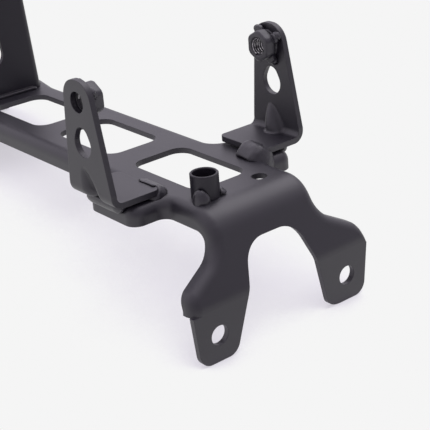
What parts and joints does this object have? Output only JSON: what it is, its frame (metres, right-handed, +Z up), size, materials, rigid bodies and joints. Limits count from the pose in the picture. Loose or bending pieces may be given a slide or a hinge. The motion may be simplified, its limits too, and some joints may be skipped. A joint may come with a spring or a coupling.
{
  "type": "headlight mounting bracket",
  "caption": "Welded steel headlight bracket: flanged bridge sheet with windows, a two-legged yoke mount, upright lamp tabs with weld nuts, a locating tube and a rear upright.",
  "frame": {"origin": "on the upper face of the bridge sheet, midway between the two lamp tabs and under the line through their bolt holes", "axes": "+X across, towards the right-hand tab; -Y ahead, towards the legs and bolt ears; +Z up from the bridge sheet"},
  "size_m": [0.1058, 0.2799, 0.1299],
  "materials": {
    "powder_coat": "satin black powder coat",
    "nut_coat": "satin black powder coat, thin over the turned end",
    "weld_coat": "satin black powder coat over weld metal"
  },
  "bodies": {
    "root": {"bridge_plate": "powder_coat", "left_tab": "powder_coat", "right_tab": "powder_coat", "left_weld_nut": "nut_coat", "right_weld_nut": "nut_coat", "left_nut_weld": "weld_coat", "right_nut_weld": "weld_coat", "left_inner_weld": "weld_coat", "right_inner_weld": "weld_coat", "left_outer_weld": "weld_coat", "right_outer_weld": "weld_coat", "locating_tube": "powder_coat", "tube_front_weld": "weld_coat", "tube_rear_weld": "weld_coat", "rear_upright": "powder_coat", "upright_front_weld": "weld_coat", "upright_left_weld": "weld_coat", "upright_right_weld": "weld_coat"}
  },
  "joints": []
}
